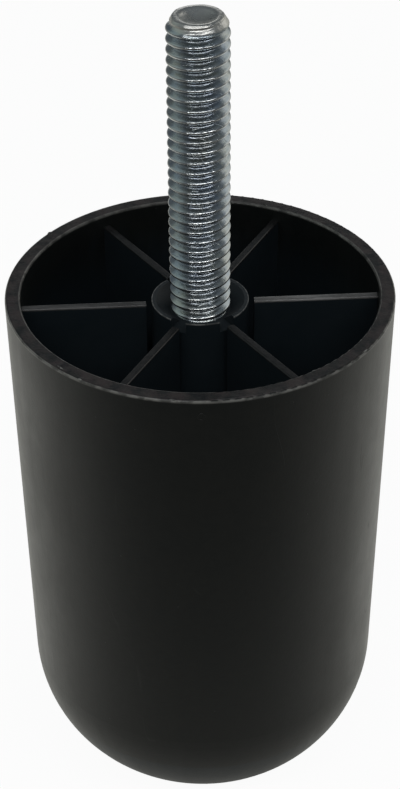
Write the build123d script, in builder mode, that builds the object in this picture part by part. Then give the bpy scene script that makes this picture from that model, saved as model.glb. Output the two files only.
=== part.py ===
from build123d import *
import os

# Round furniture leg: one hollow plastic moulding with a steel stud held in its hub.
# The leg stands on its foot, which lies on the XY plane, and its axis is +Z.
# All sizes are in millimetres.

# Leg body, outside
leg_height = 76.2
rim_diameter = 50.8
shoulder_diameter = 48.4  # where the straight taper ends and the rounded foot begins
shoulder_height = 18.2
foot_diameter = 24.2  # flat that stands on the floor
foot_edge_radius = 2.0
rim_outer_edge_radius = 0.35
rim_inner_edge_radius = 0.25

# Leg body, inside
wall = 2.0
floor_thickness = 3.0
rib_count = 6
rib_thickness = 1.1
rib_drop = 1.8  # rib tops below the rim
rib_edge_radius = 0.25

# Hub and the dished collar round the stud. The rings are given by their widths, from the stud out
hub_drop = 14.0  # hub face below the rim: above it the ribs stop short of the collar's tube
collar_drop = 1.4  # collar lip below the rim
dish_width = 1.83
dish_depth = 1.5  # from the collar lip down to the dish's floor
lip_width = 0.55
groove_width = 0.75  # between that tube and the ribs
notch_width = 2.2
notch_angles = (60, 120)  # each notch crosses the whole collar, so it cuts it twice

# Stud, a 5/16 inch size with its thread left plain at the major diameter
stud_diameter = 7.938
shank_diameter = 7.02  # the bare bar that the thread is rolled on, held in the hub
stud_rise = 38.5  # stands above the rim
stud_length = 63.5
thread_drop = 2.0  # the thread starts this far below the rim
tip_diameter = 6.5
tip_bevel_length = 1.2
cup_diameter = 5.0
cup_depth = 0.8

# Heights worked out from the rim, which every upper feature hangs from
rib_top = leg_height - rib_drop
hub_top = leg_height - hub_drop
collar_top = leg_height - collar_drop
dish_bottom = collar_top - dish_depth
stud_top = leg_height + stud_rise
stud_bottom = stud_top - stud_length
thread_start = leg_height - thread_drop

rim_radius = rim_diameter / 2
shoulder_radius = shoulder_diameter / 2
foot_radius = foot_diameter / 2
stud_radius = stud_diameter / 2
shank_radius = shank_diameter / 2
dish_radius = stud_radius + dish_width
collar_radius = dish_radius + lip_width
hub_radius = collar_radius + groove_width
tip_radius = tip_diameter / 2
cup_radius = cup_diameter / 2

# The wall's slope: from a point on the rim down to the same side at the shoulder
side_slope = (shoulder_radius - rim_radius, shoulder_height - leg_height)

# The cavity runs past the rim by this much, so the mouth is cut clean through
mouth_clearance = 5.0
mouth_height = leg_height + mouth_clearance
mouth_flare = mouth_clearance * side_slope[0] / side_slope[1]


# The inside of the shell: a tapered well with a rounded bottom
with BuildPart() as cavity:
    with BuildSketch(Plane.XZ):
        with BuildLine():
            Line((0, floor_thickness), (foot_radius, floor_thickness))
            TangentArc(
                (shoulder_radius - wall, shoulder_height),
                (foot_radius, floor_thickness),
                tangent=side_slope,
            )
            Line(
                (shoulder_radius - wall, shoulder_height),
                (rim_radius - wall + mouth_flare, mouth_height),
            )
            Line((rim_radius - wall + mouth_flare, mouth_height), (0, mouth_height))
            Line((0, mouth_height), (0, floor_thickness))
        make_face()
    revolve(axis=Axis.Z)

# What stands in the well: the ribs, which cross it from wall to wall, and the round hub
with BuildPart() as core:
    with BuildSketch(Plane.YZ):
        with Locations((0, rib_top / 2)):
            rib_section = Rectangle(rib_thickness, rib_top)
        fillet(rib_section.vertices().group_by(Axis.Y)[-1], rib_edge_radius)
    extrude(amount=rim_radius, both=True)
    rib_pair = core.part
    with Locations(*[Location((0, 0, 0), (0, 0, 360 * n / rib_count)) for n in range(1, rib_count // 2)]):
        add(rib_pair)
    with Locations((0, 0, hub_top)):
        Cylinder(hub_radius, mouth_height, align=(Align.CENTER, Align.CENTER, Align.MIN), mode=Mode.SUBTRACT)
    with BuildSketch(Plane.XY):
        Circle(hub_radius)
    extrude(amount=hub_top)
    with BuildSketch(Plane.XY.offset(hub_top)):
        Circle(collar_radius)
    extrude(amount=collar_top - hub_top)

# The empty pockets are the well without its ribs and hub
with BuildPart() as pockets:
    add(cavity.part)
    add(core.part, mode=Mode.SUBTRACT)

with BuildPart() as leg_body:
    with BuildSketch(Plane.XZ):
        with BuildLine():
            Line((0, 0), (foot_radius, 0))
            TangentArc((shoulder_radius, shoulder_height), (foot_radius, 0), tangent=side_slope)
            Line((shoulder_radius, shoulder_height), (rim_radius, leg_height))
            Line((rim_radius, leg_height), (0, leg_height))
            Line((0, leg_height), (0, 0))
        make_face()
    revolve(axis=Axis.Z)
    fillet(leg_body.edges().filter_by(GeomType.CIRCLE).group_by(Axis.Z)[0], foot_edge_radius)
    add(pockets.part, mode=Mode.SUBTRACT)
    rim_edges = leg_body.edges().filter_by(GeomType.CIRCLE).group_by(Axis.Z)[-1].sort_by(SortBy.RADIUS)
    fillet(rim_edges[0], rim_inner_edge_radius)
    fillet(rim_edges[-1], rim_outer_edge_radius)

    # Dish in the collar, then the hole that grips the stud
    with BuildSketch(Plane.XZ):
        with BuildLine():
            Polyline(
                (0, dish_bottom),
                (stud_radius, dish_bottom),
                (dish_radius, collar_top),
                (dish_radius, mouth_height),
                (0, mouth_height),
                close=True,
            )
        make_face()
    revolve(axis=Axis.Z, mode=Mode.SUBTRACT)
    with BuildSketch(Plane.XY.offset(stud_bottom)):
        Circle(shank_radius)
    extrude(amount=mouth_height - stud_bottom, mode=Mode.SUBTRACT)

    # Notches that split the collar down to the dish's floor, in line with four of the ribs
    with Locations(*[Location((0, 0, dish_bottom), (0, 0, angle)) for angle in notch_angles]):
        Box(
            2 * hub_radius,
            notch_width,
            dish_depth,
            align=(Align.CENTER, Align.CENTER, Align.MIN),
            mode=Mode.SUBTRACT,
        )

# The stud, with a bevelled end and a shallow cup in its top
with BuildPart() as threaded_stud:
    with BuildSketch(Plane.XZ):
        with BuildLine():
            Polyline(
                (0, stud_bottom),
                (shank_radius, stud_bottom),
                (shank_radius, thread_start),
                (stud_radius, thread_start),
                (stud_radius, stud_top - tip_bevel_length),
            )
            Line((stud_radius, stud_top - tip_bevel_length), (tip_radius, stud_top))
            Line((tip_radius, stud_top), (cup_radius, stud_top))
            TangentArc((0, stud_top - cup_depth), (cup_radius, stud_top), tangent=(1, 0))
            Line((0, stud_top - cup_depth), (0, stud_bottom))
        make_face()
    revolve(axis=Axis.Z)

leg_body.part.label = "leg_body"
threaded_stud.part.label = "threaded_stud"

os.makedirs("parts", exist_ok=True)
export_step(leg_body.part, "parts/leg_body.step")
export_step(threaded_stud.part, "parts/threaded_stud.step")
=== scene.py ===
import math

import bmesh
import bpy
import numpy as np
from mathutils import Matrix, Vector


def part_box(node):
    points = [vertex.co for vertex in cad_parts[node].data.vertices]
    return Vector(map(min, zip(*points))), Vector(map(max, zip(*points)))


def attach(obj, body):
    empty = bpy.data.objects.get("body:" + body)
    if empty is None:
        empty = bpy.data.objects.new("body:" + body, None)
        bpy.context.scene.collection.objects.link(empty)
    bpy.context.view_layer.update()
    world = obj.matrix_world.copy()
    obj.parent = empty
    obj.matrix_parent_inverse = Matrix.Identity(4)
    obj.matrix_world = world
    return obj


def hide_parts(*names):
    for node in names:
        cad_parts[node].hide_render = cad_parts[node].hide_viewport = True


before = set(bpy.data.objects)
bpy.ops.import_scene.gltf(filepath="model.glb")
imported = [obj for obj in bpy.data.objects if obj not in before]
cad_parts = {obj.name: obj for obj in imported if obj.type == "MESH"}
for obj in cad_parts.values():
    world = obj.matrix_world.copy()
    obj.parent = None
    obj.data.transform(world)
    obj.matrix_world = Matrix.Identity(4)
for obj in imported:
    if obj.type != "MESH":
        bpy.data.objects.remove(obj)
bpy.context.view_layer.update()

MM = 0.001

# Places read from the frame: the leg stands on z = 0 and its axis is the z axis
leg_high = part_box("leg_body")[1]
stud_low, stud_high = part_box("threaded_stud")
RIM_HEIGHT = leg_high.z
RIM_RADIUS = leg_high.x
STUD_TOP = stud_high.z
STUD_BOTTOM = stud_low.z
STUD_RADIUS = stud_high.x

# The inside of the wall, the tops of the ribs, and the collar round the stud
WALL_INSIDE = RIM_RADIUS - 2.0 * MM
RIB_TOP = RIM_HEIGHT - 1.8 * MM
COLLAR_TOP = RIM_HEIGHT - 1.4 * MM
COLLAR_RADIUS = STUD_RADIUS + 2.38 * MM
# Half width of the painted highlight along the tops of the two ribs that run along x
RIB_HIGHLIGHT_HALF_WIDTH = 0.62 * MM

# The outside wall: its radius at the rim before the edge is rounded, and how it tapers downwards
WALL_RADIUS = 25.4 * MM
WALL_TAPER = 1.2 / 58

# The mould's ring mark on the wall: angle, height, radius and thickness
MARK_ANGLE = math.radians(-93.2)
MARK_HEIGHT = RIM_HEIGHT - 2.3 * MM
MARK_RADIUS = 0.45 * MM
MARK_THICKNESS = 0.05 * MM
MARK_STEPS = 48
MARK_COLUMNS = 10

# Slivers of flash on the rim: angle in degrees, length, thickness, drop below the rim, inward lean
FLASH_SLIVERS = [
    (-138.4, 1.1, 0.10, 0.02, 0.35),
    (-129.8, 0.8, 0.09, 0.10, 0.05),
    (-135.5, 1.3, 0.07, 0.95, 0.00),
    (-102.0, 0.9, 0.07, 0.08, 0.05),
    (-58.0, 0.8, 0.06, 0.05, 1.70),
    (-40.5, 1.2, 0.07, 0.10, 0.08),
    (63.0, 1.0, 0.08, 0.03, 1.70),
    (140.0, 0.9, 0.07, 0.06, 0.10),
]
FLASH_STEPS = 13
FLASH_COLUMNS = 8
FLASH_LIFT = 0.10 * MM
FLASH_INSET = 0.12  # in millimetres, as the leans are
FLASH_WAVER = 0.05

# Stud thread, the coarse thread of a 5/16 inch stud
THREAD_PITCH = 25.4 * MM / 18
THREAD_DEPTH = 0.56 * THREAD_PITCH
CREST_FLAT = 0.20  # share of the pitch that stays at the major diameter
FLANK_SLOPE = math.sqrt(3)  # a 60 degree V falls this much for each unit along the axis
CREST_ROUNDING = 0.12 * MM
ROOT_ROUNDING = 0.30 * MM
THREAD_START = RIM_HEIGHT - 2.7 * MM
THREAD_RUN_OUT = 0.5 * MM
THREAD_PHASE = 0.28
SHANK_RADIUS = 3.5 * MM
SHANK_END_RADIUS = 0.92 * SHANK_RADIUS
SHANK_BEVEL = 0.3 * MM
ROWS_PER_PITCH = 24
COLUMNS = 128

# Stud tip
TIP_RADIUS = 3.25 * MM
BEVEL_LENGTH = 1.2 * MM
CUP_RADIUS = 2.5 * MM
CUP_DEPTH = 0.8 * MM
TIP_UNEVENNESS = 0.05 * MM
TIP_ROUNDING = 0.06 * MM
CUP_RINGS = 8
CUP_LEAN = 0.08 * MM
WELD_DISTANCE = 1e-8

# How far the bump of each finish stands out
PLASTIC_RELIEF = 0.03 * MM
FLASH_RELIEF = 0.02 * MM
ZINC_RELIEF = 0.03 * MM

# The floor's size and drop, and the light it gives in front, behind, close by and far away
FLOOR_HALF_SIZE = 3.0
FLOOR_DROP = 0.1 * MM
FLOOR_FRONT = 0.10
FLOOR_BACK = 0.85
FLOOR_NEAR = 0.13
FLOOR_FAR = 0.45

# Soft patches of light round the leg: direction, inner and outer angle in degrees, strength, colour
SKY_PATCHES = [
    ((-0.80, 0.30, 0.52), 16, 30, 0.20, (0.84, 1.0, 0.92)),
    ((0.80, 0.55, 0.30), 16, 30, 0.58, (1.0, 0.98, 0.92)),
    ((0.05, 0.98, 0.12), 3, 15, 0.80, (1.0, 1.0, 0.98)),
    ((0.0, -0.10, 1.0), 10, 60, 0.05, (0.80, 0.90, 1.0)),
]

# The dim surround between the patches
SKY_BASE = 0.11
SKY_TINT = (0.84, 0.94, 1.0)

# The key light, a wide strip in front of the leg and above it
KEY_PLACE = (0.0, -0.62, 0.80)
KEY_SIZE = (1.50, 0.16)
KEY_WATTS = 3.6

# Where the camera stands about the rim's centre, and what it aims at
CAMERA_AZIMUTH = math.radians(-3.28)
CAMERA_ELEVATION = math.radians(32.03)
CAMERA_ROLL = math.radians(-0.48)
CAMERA_DISTANCE = 10.5 * RIM_RADIUS
CAMERA_LENS = 93.33
AIM_DROP = 0.660 * RIM_RADIUS
AIM_SIDE = 0.0048 * RIM_RADIUS


# ---------------------------------------------------------------- meshes

def mesh_from_arrays(name, points, quads, fans):
    """A mesh from an (n, 3) array of points, an (m, 4) array of quads and (k, 3) triangles."""
    mesh = bpy.data.meshes.new(name)
    mesh.from_pydata(points.tolist(), [], quads.tolist() + fans.tolist())
    mesh.update()
    mesh.polygons.foreach_set("use_smooth", np.ones(len(mesh.polygons), bool))
    piece = bpy.data.objects.new(name, mesh)
    bpy.context.scene.collection.objects.link(piece)
    return piece


def lathe_faces(rows, columns, start=0):
    """Quads between neighbouring rings of a surface whose rings close on themselves.

    Ring i holds points start + i * columns + j, and each quad joins (i, j), (i, j + 1),
    (i + 1, j + 1), (i + 1, j), so that rings stacked upwards face outwards.
    """
    i, j = np.meshgrid(np.arange(rows - 1), np.arange(columns), indexing="ij")
    k = (j + 1) % columns
    corners = [i * columns + j, i * columns + k, (i + 1) * columns + k, (i + 1) * columns + j]
    return start + np.stack(corners, -1).reshape(-1, 4)


def helix_faces(rows, columns, shift, start):
    """Quads as in lathe_faces, for rings that rise by shift rows in each turn.

    The last column of row i meets the first column of row i + shift, held at the top row. Quads
    that have shrunk to nothing there are left out.
    """
    i, j = np.meshgrid(np.arange(rows - 1), np.arange(columns), indexing="ij")
    k = (j + 1) % columns
    rise = np.where(k == 0, shift, 0)
    low = np.minimum(i + rise, rows - 1)
    high = np.minimum(i + 1 + rise, rows - 1)
    corners = [i * columns + j, low * columns + k, high * columns + k, (i + 1) * columns + j]
    corners = np.stack(corners, -1).reshape(-1, 4)
    return start + corners[corners[:, 1] != corners[:, 2]]


def soft_max(a, b, width):
    """The larger of a and b, with the corner between them rounded over the given width."""
    return 0.5 * (a + b + np.sqrt((a - b) ** 2 + width ** 2))


def soft_min(a, b, width):
    """The smaller of a and b, rounded in the same way."""
    return -soft_max(-a, -b, width)


def thread_radius(angle, height):
    """Radius of a right-hand thread at an angle and height.

    The phase is height / pitch - angle / turn. Its distance from the nearest crest, less half the
    crest's flat and times the flank's slope, is how far the V has fallen. That fall is kept
    between 0 at the crest and the thread's depth at the root, with both corners rounded. Near
    its start the thread runs out into the plain shank.
    """
    phase = height / THREAD_PITCH - angle / (2 * math.pi) + THREAD_PHASE
    from_crest = np.abs(phase - np.round(phase))
    fall = (from_crest - CREST_FLAT / 2) * THREAD_PITCH * FLANK_SLOPE
    fall = soft_max(fall, 0.0, CREST_ROUNDING)
    fall = soft_min(fall, THREAD_DEPTH, ROOT_ROUNDING)
    crest = soft_max(-CREST_FLAT / 2 * THREAD_PITCH * FLANK_SLOPE, 0.0, CREST_ROUNDING)
    radius = STUD_RADIUS - fall + soft_min(crest, THREAD_DEPTH, ROOT_ROUNDING)
    share = np.clip((height - THREAD_START) / THREAD_RUN_OUT, 0, 1)
    return SHANK_RADIUS + (radius - SHANK_RADIUS) * share * share * (3 - 2 * share)


def make_stud():
    """The threaded stud as one closed surface of rings.

    Thread rings lie along the helix: ring i at angle a has height start - pitch + i * step +
    pitch * a / turn, held between the thread's two ends. The radius is thread_radius, cut down
    by a cone at the tip. The cone's radius wavers by sines of 2, 5 and 11 times the angle, as a
    cropped end does. Above it a flat ring leads into a round cup, and below it a plain shank goes
    down to the held end.
    """
    angle = np.arange(COLUMNS) * 2 * math.pi / COLUMNS
    step = THREAD_PITCH / ROWS_PER_PITCH
    count = int(math.ceil((STUD_TOP - THREAD_START) / step)) + ROWS_PER_PITCH + 2
    base = THREAD_START - THREAD_PITCH + step * np.arange(count)
    height = base[:, None] + THREAD_PITCH * angle[None, :] / (2 * math.pi)
    height = np.clip(height, THREAD_START, STUD_TOP)
    spin = np.broadcast_to(angle, height.shape)
    radius = thread_radius(spin, height)
    wave = np.sin(2 * spin + 0.7) + 0.6 * np.sin(5 * spin + 2.0) + 0.4 * np.sin(11 * spin)
    cone = TIP_RADIUS + (STUD_TOP - height) * (STUD_RADIUS - TIP_RADIUS) / BEVEL_LENGTH
    cone = cone + TIP_UNEVENNESS * (wave - 2)
    radius = soft_min(radius, cone, TIP_ROUNDING)
    thread = np.stack([radius * np.cos(spin), radius * np.sin(spin), height], -1)

    shank = ring_stack(np.array([SHANK_END_RADIUS, SHANK_RADIUS, SHANK_RADIUS]),
                       np.array([STUD_BOTTOM, STUD_BOTTOM + SHANK_BEVEL, THREAD_START]), angle)
    arc = np.arange(CUP_RINGS) / CUP_RINGS
    cup_r = CUP_RADIUS * (1 - arc)
    cup_z = STUD_TOP - CUP_DEPTH * (1 - (cup_r / CUP_RADIUS) ** 2)
    cup = ring_stack(cup_r, cup_z, angle)
    cup[..., 0] += CUP_LEAN * (1 - cup_r[:, None] / CUP_RADIUS)
    rings = np.concatenate([shank, thread, cup])
    points = rings.reshape(-1, 3)
    low_pole, high_pole = len(points), len(points) + 1
    points = np.vstack([points, [0, 0, STUD_BOTTOM], [0, 0, STUD_TOP - CUP_DEPTH]])
    thread_from, cup_from = len(shank), len(shank) + count - 1
    quads = np.concatenate([
        lathe_faces(thread_from + 1, COLUMNS),
        helix_faces(count, COLUMNS, ROWS_PER_PITCH, thread_from * COLUMNS),
        lathe_faces(len(rings) - cup_from, COLUMNS, cup_from * COLUMNS),
    ])
    here = np.arange(COLUMNS)
    after = (here + 1) % COLUMNS
    last = (len(rings) - 1) * COLUMNS
    bottom_fan = np.stack([after, here, np.full(COLUMNS, low_pole)], -1)
    top_fan = np.stack([last + here, last + after, np.full(COLUMNS, high_pole)], -1)
    piece = mesh_from_arrays("stud_thread", points, quads, np.concatenate([bottom_fan, top_fan]))
    merge_doubles(piece.data, WELD_DISTANCE)
    return piece


def ring_stack(radii, heights, angle):
    """Rings of the given radii and heights round the z axis, as a (rings, columns, 3) array."""
    r = radii[:, None]
    z = np.broadcast_to(heights[:, None], (len(radii), len(angle)))
    return np.stack([r * np.cos(angle), r * np.sin(angle), z], -1)


def tube_points(path, radii, columns):
    """Rings of a round tube along a path of points, as an (n, columns, 3) array.

    Each ring lies square to the path's direction there: its two axes are that direction crossed
    with the radial direction, and the result crossed with the path's direction again.
    """
    along = np.gradient(path, axis=0)
    along /= np.linalg.norm(along, axis=1, keepdims=True)
    outward = path * [1, 1, 0]
    outward /= np.linalg.norm(outward, axis=1, keepdims=True)
    side = np.cross(along, outward)
    side /= np.linalg.norm(side, axis=1, keepdims=True)
    across = np.cross(side, along)
    spin = (np.arange(columns) * 2 * math.pi / columns)[None, :, None]
    ring = across[:, None] * np.cos(spin) + side[:, None] * np.sin(spin)
    return path[:, None] + radii[:, None, None] * ring


def wall_points(angle, height, proud=0.0):
    """Points on the tapered outside wall at arrays of angles and heights, standing proud of it."""
    radius = WALL_RADIUS - (RIM_HEIGHT - height) * WALL_TAPER + proud
    return np.stack([radius * np.cos(angle), radius * np.sin(angle), height], -1)


def make_mould_mark():
    """A thin raised ring on the wall: a tube round a circle that is wrapped onto the wall.

    The tube's centre lies half its thickness inside the wall.
    """
    turn = np.arange(MARK_STEPS) * 2 * math.pi / MARK_STEPS
    path = wall_points(MARK_ANGLE + MARK_RADIUS * np.cos(turn) / WALL_RADIUS,
                       MARK_HEIGHT + MARK_RADIUS * np.sin(turn), -MARK_THICKNESS / 2)
    wrapped = np.concatenate([path[-2:], path, path[:2]])
    rings = tube_points(wrapped, np.full(len(wrapped), MARK_THICKNESS), MARK_COLUMNS)[2:-2]
    points = rings.reshape(-1, 3)
    quads = lathe_faces(MARK_STEPS + 1, MARK_COLUMNS) % len(points)
    piece = mesh_from_arrays("mould_mark", points, quads, np.zeros((0, 3), int))
    face_outwards(piece.data)
    return piece


def make_rim_flash():
    """Slivers of flash on the rim: short tubes that thin to nothing at both ends and lift a little.

    A sliver's path follows the rim from its angle over its length, set in from the wall by its
    lean, and rises as a shallow arch unless it lies well below the rim. Its radius is its
    thickness times the square root of sin(pi * share of the length).
    """
    share = np.linspace(0, 1, FLASH_STEPS)
    columns = FLASH_COLUMNS
    points, quads, fans = [], [], []
    start = 0
    for degrees, length, thickness, drop, lean in FLASH_SLIVERS:
        angle = math.radians(degrees) + length * MM * share / WALL_RADIUS
        lift = FLASH_LIFT * np.sin(math.pi * share) * (drop < 0.5)
        inset = lean + FLASH_INSET + FLASH_WAVER * np.cos(5 * share)
        path = wall_points(angle, RIM_HEIGHT - drop * MM + lift, -inset * MM)
        radii = thickness * MM * np.sqrt(np.sin(math.pi * np.clip(share, 0.02, 0.98)))
        rings = tube_points(path, radii, columns)
        points += [rings.reshape(-1, 3), path[:1], path[-1:]]
        quads.append(lathe_faces(len(share), columns, start))
        here = start + np.arange(columns)
        after = start + np.roll(np.arange(columns), -1)
        last = (len(share) - 1) * columns
        pole = start + len(share) * columns
        fans.append(np.stack([after, here, np.full(columns, pole)], -1))
        fans.append(np.stack([here + last, after + last, np.full(columns, pole + 1)], -1))
        start = pole + 2
    piece = mesh_from_arrays("rim_flash", np.concatenate(points), np.concatenate(quads),
                             np.concatenate(fans))
    face_outwards(piece.data)
    return piece


def face_outwards(mesh):
    """Turns every face of a closed mesh outwards."""
    work = bmesh.new()
    work.from_mesh(mesh)
    bmesh.ops.recalc_face_normals(work, faces=work.faces)
    work.to_mesh(mesh)
    work.free()
    mesh.update()


def merge_doubles(mesh, distance):
    """Joins points that lie on each other, which closes the helix's two ends."""
    work = bmesh.new()
    work.from_mesh(mesh)
    bmesh.ops.remove_doubles(work, verts=work.verts, dist=distance)
    bmesh.ops.dissolve_degenerate(work, edges=work.edges, dist=distance)
    work.to_mesh(mesh)
    work.free()
    mesh.update()


# ---------------------------------------------------------------- node helpers

def add_node(tree, kind, settings=None, **inputs):
    """A node of the given kind, with its settings, and inputs given as values or as sockets.

    An input's name has its spaces written as underscores, and a name of the form _0 is a
    place in the node's list of inputs.
    """
    node = tree.nodes.new(kind)
    for key, value in (settings or {}).items():
        setattr(node, key, value)
    for key, value in inputs.items():
        socket = node.inputs[int(key[1:])] if key[0] == "_" else node.inputs[key.replace("_", " ")]
        if isinstance(value, bpy.types.NodeSocket):
            tree.links.new(value, socket)
        else:
            socket.default_value = value
    return node


def calc(tree, operation, a, b=0.0, c=0.0):
    """The result of a maths node."""
    return add_node(tree, "ShaderNodeMath", {"operation": operation}, _0=a, _1=b, _2=c).outputs[0]


def times(tree, a, b):
    """The product of two values."""
    return calc(tree, "MULTIPLY", a, b)


def add_scaled(tree, base, value, factor):
    """The base plus the value times the factor."""
    return calc(tree, "MULTIPLY_ADD", value, factor, base)


def from_half(tree, value):
    """How far a value is above a half."""
    return calc(tree, "SUBTRACT", value, 0.5)


def ramp(tree, value, start, end, low=0.0, high=1.0):
    """A smooth step from low to high as the value goes from start to end."""
    node = add_node(tree, "ShaderNodeMapRange", {"interpolation_type": "SMOOTHSTEP"}, Value=value,
                    From_Min=start, From_Max=end, To_Min=low, To_Max=high)
    return node.outputs["Result"]


def blend(tree, factor, a, b, mode="MIX"):
    """A mix of two colours."""
    settings = {"data_type": "RGBA", "blend_type": mode}
    return add_node(tree, "ShaderNodeMix", settings, _0=factor, _6=a, _7=b).outputs[2]


def noise(tree, place, scale, detail=2.0, rough=0.5):
    """Plain noise, from 0 to 1 about a half."""
    node = add_node(tree, "ShaderNodeTexNoise", None, Vector=place, Scale=scale, Detail=detail,
                    Roughness=rough)
    return node.outputs["Fac"]


def object_place(tree):
    """The point's place in the piece's own frame, in metres."""
    return add_node(tree, "ShaderNodeTexCoord").outputs["Object"]


def axes(tree, place):
    """The three parts of a place, named X, Y and Z."""
    return add_node(tree, "ShaderNodeSeparateXYZ", None, Vector=place).outputs


def stretched(tree, place, factors):
    """The place scaled by a factor on each axis, which stretches a pattern the other way."""
    settings = {"operation": "MULTIPLY"}
    return add_node(tree, "ShaderNodeVectorMath", settings, _0=place, _1=factors).outputs[0]


def new_group(name, inputs, outputs):
    """An empty node group with the named inputs and outputs."""
    tree = bpy.data.node_groups.new(name, "ShaderNodeTree")
    for title, kind, value in inputs:
        socket = tree.interface.new_socket(title, in_out="INPUT", socket_type="NodeSocket" + kind)
        if value is not None:
            socket.default_value = value
    for title, kind in outputs:
        tree.interface.new_socket(title, in_out="OUTPUT", socket_type="NodeSocket" + kind)
    return tree, tree.nodes.new("NodeGroupInput").outputs, tree.nodes.new("NodeGroupOutput").inputs


def use_group(tree, group, **inputs):
    """The outputs of a node that uses a group."""
    return add_node(tree, "ShaderNodeGroup", {"node_tree": group}, **inputs).outputs


# ---------------------------------------------------------------- effects shared by the materials

def ring_place_group():
    """Where a point lies about the leg's axis: its radius and its height."""
    tree, given, out = new_group("ring_place", [("Place", "Vector", None)],
                                 [("Radius", "Float"), ("Height", "Float")])
    parts = axes(tree, given["Place"])
    flat = add_node(tree, "ShaderNodeCombineXYZ", None, X=parts["X"], Y=parts["Y"]).outputs[0]
    length = add_node(tree, "ShaderNodeVectorMath", {"operation": "LENGTH"}, _0=flat)
    tree.links.new(length.outputs["Value"], out["Radius"])
    tree.links.new(parts["Z"], out["Height"])
    return tree


def mottle_group():
    """Cloudy patches: broad noise with finer noise on top, centred on a half and spread by Contrast."""
    tree, given, out = new_group(
        "mottle",
        [("Place", "Vector", None), ("Scale", "Float", 100.0), ("Contrast", "Float", 1.0)],
        [("Value", "Float")])
    broad = noise(tree, given["Place"], given["Scale"], 3.0)
    fine = noise(tree, given["Place"], times(tree, given["Scale"], 7.3), 2.0)
    both = add_scaled(tree, times(tree, broad, 0.65), fine, 0.35)
    spread = times(tree, given["Contrast"], 2.5)
    centred = calc(tree, "MULTIPLY_ADD", from_half(tree, both), spread, 0.5)
    held = add_node(tree, "ShaderNodeClamp", None, Value=centred)
    tree.links.new(held.outputs[0], out["Value"])
    return tree


def grain_group():
    """The grain of a surface as a height: noise pits of one size, with softer, larger waves."""
    tree, given, out = new_group(
        "surface_grain", [("Place", "Vector", None), ("Scale", "Float", 3000.0)], [("Height", "Float")])
    pits = noise(tree, given["Place"], given["Scale"], 3.0, 0.6)
    waves = noise(tree, given["Place"], times(tree, given["Scale"], 0.16), 2.0)
    tree.links.new(add_scaled(tree, pits, waves, 0.5), out["Height"])
    return tree


def speck_group():
    """Dust and lint: round specks in a random few of the cells of a Voronoi pattern.

    A speck shows where the distance to its cell's centre is under Size and the cell's random
    value is under Amount.
    """
    tree, given, out = new_group(
        "dust_specks",
        [("Place", "Vector", None), ("Scale", "Float", 500.0), ("Size", "Float", 0.2),
         ("Amount", "Float", 0.1)],
        [("Mask", "Float")])
    cells = add_node(tree, "ShaderNodeTexVoronoi", None, Vector=given["Place"], Scale=given["Scale"])
    near = ramp(tree, calc(tree, "DIVIDE", cells.outputs["Distance"], given["Size"]), 1.0, 0.5)
    pick = add_node(tree, "ShaderNodeSeparateColor", None, Color=cells.outputs["Color"]).outputs[0]
    kept = calc(tree, "LESS_THAN", pick, given["Amount"])
    tree.links.new(times(tree, near, kept), out["Mask"])
    return tree


def scratch_group():
    """Fine scratches: thin lines where one noise crosses a half, broken up by a second noise."""
    tree, given, out = new_group(
        "fine_scratches",
        [("Place", "Vector", None), ("Scale", "Float", 60.0), ("Width", "Float", 0.006),
         ("Amount", "Float", 0.5)],
        [("Mask", "Float")])
    field = noise(tree, given["Place"], given["Scale"], 0.5)
    line = ramp(tree, calc(tree, "ABSOLUTE", from_half(tree, field)), given["Width"], 0.0)
    patches = noise(tree, given["Place"], times(tree, given["Scale"], 2.7), 1.0)
    limit = calc(tree, "SUBTRACT", 1.0, given["Amount"])
    kept = ramp(tree, patches, limit, calc(tree, "ADD", limit, 0.08))
    tree.links.new(times(tree, line, kept), out["Mask"])
    return tree


def band_group():
    """A soft mask that is 1 where a value is within Half Width of Centre, and 0 a Fade further out."""
    tree, given, out = new_group(
        "band",
        [("Value", "Float", 0.0), ("Centre", "Float", 0.0), ("Half Width", "Float", 0.001),
         ("Fade", "Float", 0.001)],
        [("Mask", "Float")])
    away = calc(tree, "ABSOLUTE", calc(tree, "SUBTRACT", given["Value"], given["Centre"]))
    edge = calc(tree, "ADD", given["Half Width"], given["Fade"])
    tree.links.new(ramp(tree, away, edge, given["Half Width"]), out["Mask"])
    return tree


RING_PLACE = ring_place_group()
MOTTLE = mottle_group()
GRAIN = grain_group()
SPECKS = speck_group()
SCRATCHES = scratch_group()
BAND = band_group()


def mottle(tree, place, scale, contrast):
    """Cloudy patches about a half."""
    return use_group(tree, MOTTLE, Place=place, Scale=scale, Contrast=contrast)[0]


def grain(tree, place, scale):
    """The height of a fine grain."""
    return use_group(tree, GRAIN, Place=place, Scale=scale)[0]


def specks(tree, place, scale, size, amount):
    """A mask of round specks."""
    return use_group(tree, SPECKS, Place=place, Scale=scale, Size=size, Amount=amount)[0]


def scratches(tree, place, scale, width, amount):
    """A mask of thin scratches."""
    return use_group(tree, SCRATCHES, Place=place, Scale=scale, Width=width, Amount=amount)[0]


def band(tree, value, centre, half_width, fade):
    """A soft mask of the values near a centre."""
    return use_group(tree, BAND, Value=value, Centre=centre, Half_Width=half_width, Fade=fade)[0]


def new_material(name):
    """A material with nodes, its node tree and its Principled shader."""
    material = bpy.data.materials.new(name)
    material.use_nodes = True
    tree = material.node_tree
    return material, tree, tree.nodes["Principled BSDF"]


def set_bump(tree, shader, height, strength, distance):
    """Puts a height on the shader as a bump."""
    bump = add_node(tree, "ShaderNodeBump", None, Strength=strength, Distance=distance, Height=height)
    tree.links.new(bump.outputs[0], shader.inputs["Normal"])


# ---------------------------------------------------------------- materials

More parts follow.
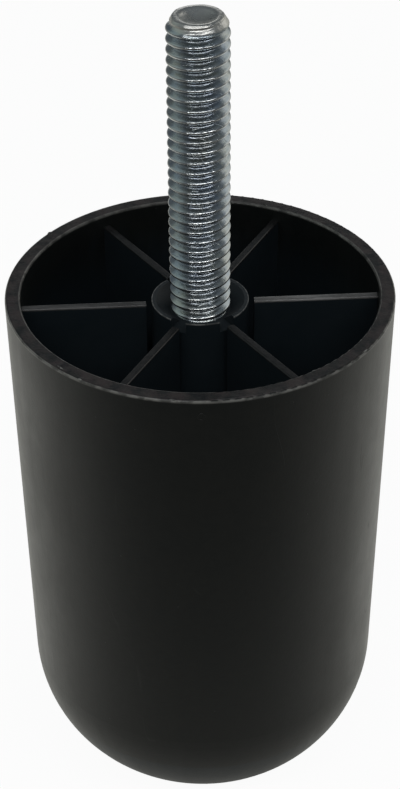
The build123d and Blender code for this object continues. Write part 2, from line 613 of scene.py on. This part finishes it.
def moulded_plastic():
    """Satin black plastic: fine mould grain, cloudy sheen, faint flow streaks, dust and a cut rim."""
    material, tree, shader = new_material("moulded_plastic")
    place = object_place(tree)
    parts = axes(tree, place)
    ring = use_group(tree, RING_PLACE, Place=place)
    radius, height = ring["Radius"], ring["Height"]

    # Inside is everything nearer the axis than the wall
    inside = ramp(tree, radius, WALL_INSIDE - 0.05 * MM, WALL_INSIDE - 0.25 * MM)
    outside = calc(tree, "SUBTRACT", 1.0, inside)
    below_face = ramp(tree, height, RIM_HEIGHT - 0.15 * MM, RIM_HEIGHT - 0.45 * MM)
    on_wall = ramp(tree, radius, WALL_INSIDE - 0.2 * MM, WALL_INSIDE)
    at_top = ramp(tree, height, RIM_HEIGHT - 0.12 * MM, RIM_HEIGHT - 0.02 * MM)
    rim_face = times(tree, at_top, on_wall)
    at_rim = ramp(tree, height, RIM_HEIGHT - 0.5 * MM, RIM_HEIGHT - 0.2 * MM)
    outer_edge = band(tree, radius, RIM_RADIUS - 0.07 * MM, 0.06 * MM, 0.08 * MM)
    inner_edge = band(tree, radius, WALL_INSIDE + 0.08 * MM, 0.08 * MM, 0.12 * MM)
    rim_edge = times(tree, add_scaled(tree, outer_edge, inner_edge, 0.7), at_rim)
    whole_edge = calc(tree, "MINIMUM", rim_edge, 1.0)

    # The ribs' tops, the collar's outer edge and the dish inside it
    clear_of_collar = ramp(tree, radius, COLLAR_RADIUS + 0.12 * MM, COLLAR_RADIUS + 0.42 * MM)
    rib_top = times(tree, band(tree, height, RIB_TOP, 0.20 * MM, 0.20 * MM), inside)
    rib_top = times(tree, rib_top, clear_of_collar)
    lip = times(tree, band(tree, radius, COLLAR_RADIUS, 0.07 * MM, 0.07 * MM),
                band(tree, height, COLLAR_TOP, 0.12 * MM, 0.08 * MM))
    dish = times(tree, ramp(tree, radius, STUD_RADIUS + 2.0 * MM, STUD_RADIUS + 1.7 * MM), inside)

    # Patterns
    cloud = mottle(tree, place, 70.0, 0.8)
    flow = mottle(tree, stretched(tree, place, (1, 1, 0.12)), 260.0, 0.7)
    speckle = mottle(tree, place, 900.0, 1.2)
    patch = mottle(tree, place, 480.0, 2.4)
    fleck = mottle(tree, place, 1500.0, 2.4)
    streak = mottle(tree, stretched(tree, place, (0.12, 1, 1)), 1500.0, 2.2)
    dust = specks(tree, place, 420.0, 0.05, 0.16)
    lint = specks(tree, stretched(tree, place, (1, 1, 0.35)), 210.0, 0.035, 0.10)
    marks = scratches(tree, stretched(tree, place, (1, 1, 0.3)), 120.0, 0.0035, 0.45)
    light_marks = calc(tree, "MAXIMUM", calc(tree, "MAXIMUM", dust, lint), times(tree, marks, 0.35))
    light_marks = times(tree, light_marks, outside)

    # The outside, the well with its painted light, and the rim's face
    outer = blend(tree, cloud, (0.0042, 0.0064, 0.0070, 1), (0.0085, 0.0096, 0.0085, 1))
    outer = blend(tree, times(tree, speckle, 0.35), outer, (0.016, 0.017, 0.015, 1))
    # The well is the same plastic painted lighter and bluer than the outside: painted light lifting its
    # shade
    well_painted_light = blend(tree, cloud, (0.0095, 0.0150, 0.0190, 1), (0.0130, 0.0190, 0.0230, 1))
    face = blend(tree, patch, (0.004, 0.005, 0.007, 1), (0.046, 0.034, 0.034, 1))
    face = blend(tree, times(tree, fleck, 0.35), face, (0.045, 0.047, 0.040, 1))
    colour = blend(tree, times(tree, inside, below_face), outer, well_painted_light)
    colour = blend(tree, rim_face, colour, face)

    # The ribs' tops are neutral and flecked; the two ribs along x carry a painted highlight in streaks,
    # brighter on the right
    colour = blend(tree, times(tree, rib_top, 0.9), colour, (0.0085, 0.0080, 0.0080, 1))
    rib_fleck = times(tree, rib_top, ramp(tree, fleck, 0.35, 0.75, 0.0, 0.22))
    colour = blend(tree, rib_fleck, colour, (0.060, 0.056, 0.054, 1))
    rib_highlight = times(tree, rib_top, band(tree, parts["Y"], 0.0, RIB_HIGHLIGHT_HALF_WIDTH, 0.1 * MM))
    rib_highlight = times(tree, rib_highlight, calc(tree, "MULTIPLY_ADD", streak, 0.6, 0.4))
    rib_highlight = times(tree, rib_highlight, ramp(tree, parts["X"], -5 * MM, 5 * MM, 0.32, 0.80))
    colour = blend(tree, rib_highlight, colour, (0.28, 0.275, 0.27, 1))

    # Painted highlight on the collar's lip, paler rim edges, chips and dust
    # Painted highlight round the collar's lip, broken by flecks
    lip_highlight = times(tree, lip, ramp(tree, fleck, 0.3, 0.7, 0.3, 0.9))
    colour = blend(tree, lip_highlight, colour, (0.25, 0.25, 0.24, 1))
    # The rim's edges are painted paler in broken lines, the outer edge more than the inner
    pale_rim_edges = times(tree, rim_edge, ramp(tree, noise(tree, place, 700.0, 3.0), 0.36, 0.58, 0.35, 0.90))
    colour = blend(tree, pale_rim_edges, colour, (0.27, 0.265, 0.245, 1))
    chips = times(tree, specks(tree, place, 330.0, 0.22, 0.07), whole_edge)
    colour = blend(tree, times(tree, chips, 0.8), colour, (0.42, 0.43, 0.41, 1))
    colour = blend(tree, times(tree, light_marks, 0.30), colour, (0.10, 0.10, 0.095, 1))
    tree.links.new(colour, shader.inputs["Base Color"])

    rough = calc(tree, "MULTIPLY_ADD", from_half(tree, cloud), 0.10, 0.40)
    rough = add_scaled(tree, rough, from_half(tree, flow), 0.09)
    rough = add_scaled(tree, rough, rim_face, 0.10)
    rough = add_scaled(tree, rough, rib_top, -0.10)
    rough = add_scaled(tree, rough, whole_edge, -0.14)
    rough = add_scaled(tree, rough, dish, 0.22)
    rough = add_scaled(tree, rough, light_marks, 0.20)
    tree.links.new(rough, shader.inputs["Roughness"])

    cut = times(tree, grain(tree, place, 900.0), rim_face)
    relief = add_scaled(tree, grain(tree, place, 2600.0), cut, 7.0)
    relief = add_scaled(tree, relief, light_marks, 1.5)
    set_bump(tree, shader, relief, 0.45, PLASTIC_RELIEF)
    shader.inputs["IOR"].default_value = 1.5
    shader.inputs["Specular IOR Level"].default_value = 0.5
    return material


def whitened_plastic():
    """Thin torn plastic, whitened where it was stretched."""
    material, tree, shader = new_material("whitened_plastic")
    place = object_place(tree)
    tone = blend(tree, mottle(tree, place, 1800.0, 2.0), (0.03, 0.03, 0.028, 1), (0.34, 0.34, 0.32, 1))
    tree.links.new(tone, shader.inputs["Base Color"])
    torn = grain(tree, place, 6000.0)
    tree.links.new(calc(tree, "MULTIPLY_ADD", torn, 0.2, 0.35), shader.inputs["Roughness"])
    set_bump(tree, shader, torn, 0.4, FLASH_RELIEF)
    return material


def zinc_steel():
    """Bright zinc plate on a rolled thread: blue and straw patches, painted shade in the grooves,
    rubbed crests.
    """
    material, tree, shader = new_material("zinc_steel")
    place = object_place(tree)
    ring = use_group(tree, RING_PLACE, Place=place)
    radius, height = ring["Radius"], ring["Height"]
    root = STUD_RADIUS - THREAD_DEPTH
    groove_shade = times(tree, ramp(tree, radius, root + 0.42 * MM, root + 0.05 * MM),
                   ramp(tree, height, STUD_TOP - 0.9 * MM, STUD_TOP - 1.4 * MM))
    crest = ramp(tree, radius, STUD_RADIUS - 0.16 * MM, STUD_RADIUS - 0.04 * MM)
    tip = ramp(tree, height, STUD_TOP - 1.1 * MM, STUD_TOP - 0.8 * MM)

    tint = mottle(tree, place, 210.0, 1.3)
    film = mottle(tree, stretched(tree, place, (1, 1, 0.4)), 420.0, 1.2)
    streaks = mottle(tree, stretched(tree, place, (0.25, 0.25, 3.0)), 1300.0, 1.3)
    nicks = specks(tree, place, 700.0, 0.16, 0.10)
    marks = scratches(tree, stretched(tree, place, (1, 1, 2.5)), 260.0, 0.010, 0.5)

    colour = blend(tree, tint, (0.44, 0.52, 0.66, 1), (0.62, 0.64, 0.60, 1))
    colour = blend(tree, times(tree, film, 0.45), colour, (0.50, 0.58, 0.56, 1))
    colour = blend(tree, times(tree, crest, 0.55), colour, (0.74, 0.74, 0.73, 1))
    # Painted shade: the thread's grooves are darkened towards navy
    colour = blend(tree, times(tree, groove_shade, 0.35), colour, (0.14, 0.15, 0.22, 1))
    colour = blend(tree, times(tree, tip, 0.8), colour, (0.80, 0.78, 0.73, 1))
    colour = blend(tree, times(tree, nicks, 0.5), colour, (0.25, 0.25, 0.24, 1))
    tree.links.new(colour, shader.inputs["Base Color"])
    shader.inputs["Metallic"].default_value = 1.0

    rough = calc(tree, "MULTIPLY_ADD", film, 0.14, 0.13)
    rough = add_scaled(tree, rough, groove_shade, 0.06)
    rough = add_scaled(tree, rough, crest, -0.06)
    rough = add_scaled(tree, rough, marks, 0.12)
    rough = add_scaled(tree, rough, tip, 0.10)
    tree.links.new(rough, shader.inputs["Roughness"])

    relief = add_scaled(tree, grain(tree, place, 2300.0), streaks, 0.8)
    relief = add_scaled(tree, relief, marks, -0.8)
    relief = add_scaled(tree, relief, nicks, -1.2)
    relief = add_scaled(tree, relief, times(tree, grain(tree, place, 900.0), tip), 6.0)
    set_bump(tree, shader, relief, 0.45, ZINC_RELIEF)
    return material


def pale_floor():
    """White paper that looks evenly bright, and lights the leg more from behind than from in front."""
    material, tree, shader = new_material("pale_floor")
    place = object_place(tree)
    shader.inputs["Specular IOR Level"].default_value = 0.0
    shader.inputs["Roughness"].default_value = 1.0
    tone = blend(tree, mottle(tree, place, 6.0, 0.5), (0.86, 0.86, 0.86, 1), (0.88, 0.88, 0.875, 1))
    tree.links.new(tone, shader.inputs["Base Color"])
    white = add_node(tree, "ShaderNodeEmission", None, Color=(1, 1, 1, 1), Strength=1.05)
    seen = add_node(tree, "ShaderNodeMixShader", None, _0=0.90, _1=shader.outputs[0],
                    _2=white.outputs[0])

    # Round the leg the paper's light goes from dim in front to bright behind
    away = add_node(tree, "ShaderNodeVectorMath", {"operation": "LENGTH"}, _0=place).outputs["Value"]
    backward = calc(tree, "DIVIDE", axes(tree, place)["Y"], calc(tree, "ADD", away, 0.01))
    glow = ramp(tree, backward, -1.0, 0.75, FLOOR_FRONT, FLOOR_BACK)
    glow = times(tree, glow, ramp(tree, away, 0.13, 0.22, 1.0, FLOOR_FAR))
    glow = calc(tree, "ADD", glow, ramp(tree, away, 0.11, 0.02, 0.0, FLOOR_NEAR))
    lit = add_node(tree, "ShaderNodeEmission", None, Color=(1.0, 1.0, 0.93, 1), Strength=glow)
    path = add_node(tree, "ShaderNodeLightPath").outputs["Is Camera Ray"]
    final = add_node(tree, "ShaderNodeMixShader", None, _0=path, _1=lit.outputs[0], _2=seen.outputs[0])
    tree.links.new(final.outputs[0], tree.nodes["Material Output"].inputs["Surface"])
    return material


# ---------------------------------------------------------------- stage

def make_floor():
    """A wide pale floor under the leg."""
    corners = np.array([[-1, -1, 0], [1, -1, 0], [1, 1, 0], [-1, 1, 0]]) * FLOOR_HALF_SIZE
    corners = corners - [0, 0, FLOOR_DROP]
    floor = mesh_from_arrays("floor", corners, np.array([[0, 1, 2, 3]]), np.zeros((0, 3), int))
    floor.data.materials.append(pale_floor())


def area_light(name, place, aim, size, watts):
    """A rectangular light at a place, turned towards a point."""
    lamp = bpy.data.lights.new(name, "AREA")
    lamp.shape = "RECTANGLE"
    lamp.size, lamp.size_y = size
    lamp.energy = watts
    holder = bpy.data.objects.new(name, lamp)
    holder.location = place
    holder.rotation_mode = "QUATERNION"
    holder.rotation_quaternion = (Vector(aim) - Vector(place)).to_track_quat("-Z", "Y")
    bpy.context.scene.collection.objects.link(holder)


def make_camera():
    """Looks down at the rim from the front, a little to the left of the ribs' line."""
    rim_centre = Vector((0, 0, RIM_HEIGHT))
    level = math.cos(CAMERA_ELEVATION)
    away = Vector((math.sin(CAMERA_AZIMUTH) * level, -math.cos(CAMERA_AZIMUTH) * level,
                   math.sin(CAMERA_ELEVATION)))
    data = bpy.data.cameras.new("camera")
    data.sensor_width = 36
    data.lens = CAMERA_LENS
    data.clip_start, data.clip_end = 0.01, 20
    camera = bpy.data.objects.new("camera", data)
    camera.location = rim_centre + away * CAMERA_DISTANCE
    aim = rim_centre - Vector((AIM_SIDE * math.cos(CAMERA_AZIMUTH), AIM_SIDE * math.sin(CAMERA_AZIMUTH),
                               AIM_DROP))
    look = aim - camera.location
    turn = look.to_track_quat("-Z", "Y").to_matrix() @ Matrix.Rotation(CAMERA_ROLL, 3, "Z")
    camera.rotation_mode = "QUATERNION"
    camera.rotation_quaternion = turn.to_quaternion()
    bpy.context.scene.collection.objects.link(camera)
    bpy.context.scene.camera = camera


def make_world():
    """A white surround to look at, and a dim one with soft bright patches to be lit by.

    A patch's strength goes smoothly from 0 at its outer angle to full at its inner angle,
    measured from its direction.
    """
    world = bpy.data.worlds.new("studio")
    bpy.context.scene.world = world
    world.use_nodes = True
    tree = world.node_tree
    direction = add_node(tree, "ShaderNodeTexCoord").outputs["Generated"]
    base = add_node(tree, "ShaderNodeRGB")
    base.outputs[0].default_value = (*[SKY_BASE * c for c in SKY_TINT], 1)
    total = base.outputs[0]
    for toward, inner, outer, strength, colour in SKY_PATCHES:
        dot = add_node(tree, "ShaderNodeVectorMath", {"operation": "DOT_PRODUCT"}, _0=direction,
                       _1=Vector(toward).normalized())
        amount = ramp(tree, dot.outputs["Value"], math.cos(math.radians(outer)),
                      math.cos(math.radians(inner)))
        glow = (*[strength * c for c in colour], 1)
        total = blend(tree, amount, total, blend(tree, 1.0, total, glow, "ADD"))
    lit = tree.nodes["Background"]
    tree.links.new(total, lit.inputs["Color"])
    seen = add_node(tree, "ShaderNodeBackground", None, Color=(1, 1, 1, 1), Strength=1.0)
    path = add_node(tree, "ShaderNodeLightPath").outputs["Is Camera Ray"]
    final = add_node(tree, "ShaderNodeMixShader", None, _0=path, _1=lit.outputs[0], _2=seen.outputs[0])
    tree.links.new(final.outputs[0], tree.nodes["World Output"].inputs["Surface"])


# ---------------------------------------------------------------- assembly

stud = make_stud()
stud.data.materials.append(zinc_steel())
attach(stud, "root")
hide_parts("threaded_stud")

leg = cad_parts["leg_body"]
plastic = moulded_plastic()
leg.material_slots[0].material = plastic

mark = make_mould_mark()
mark.data.materials.append(plastic)
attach(mark, "root")

flash = make_rim_flash()
flash.data.materials.append(whitened_plastic())
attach(flash, "root")

make_floor()
make_world()
area_light("key", KEY_PLACE, (0, 0, RIM_HEIGHT), KEY_SIZE, KEY_WATTS)
make_camera()
bpy.context.scene.view_settings.view_transform = "Standard"
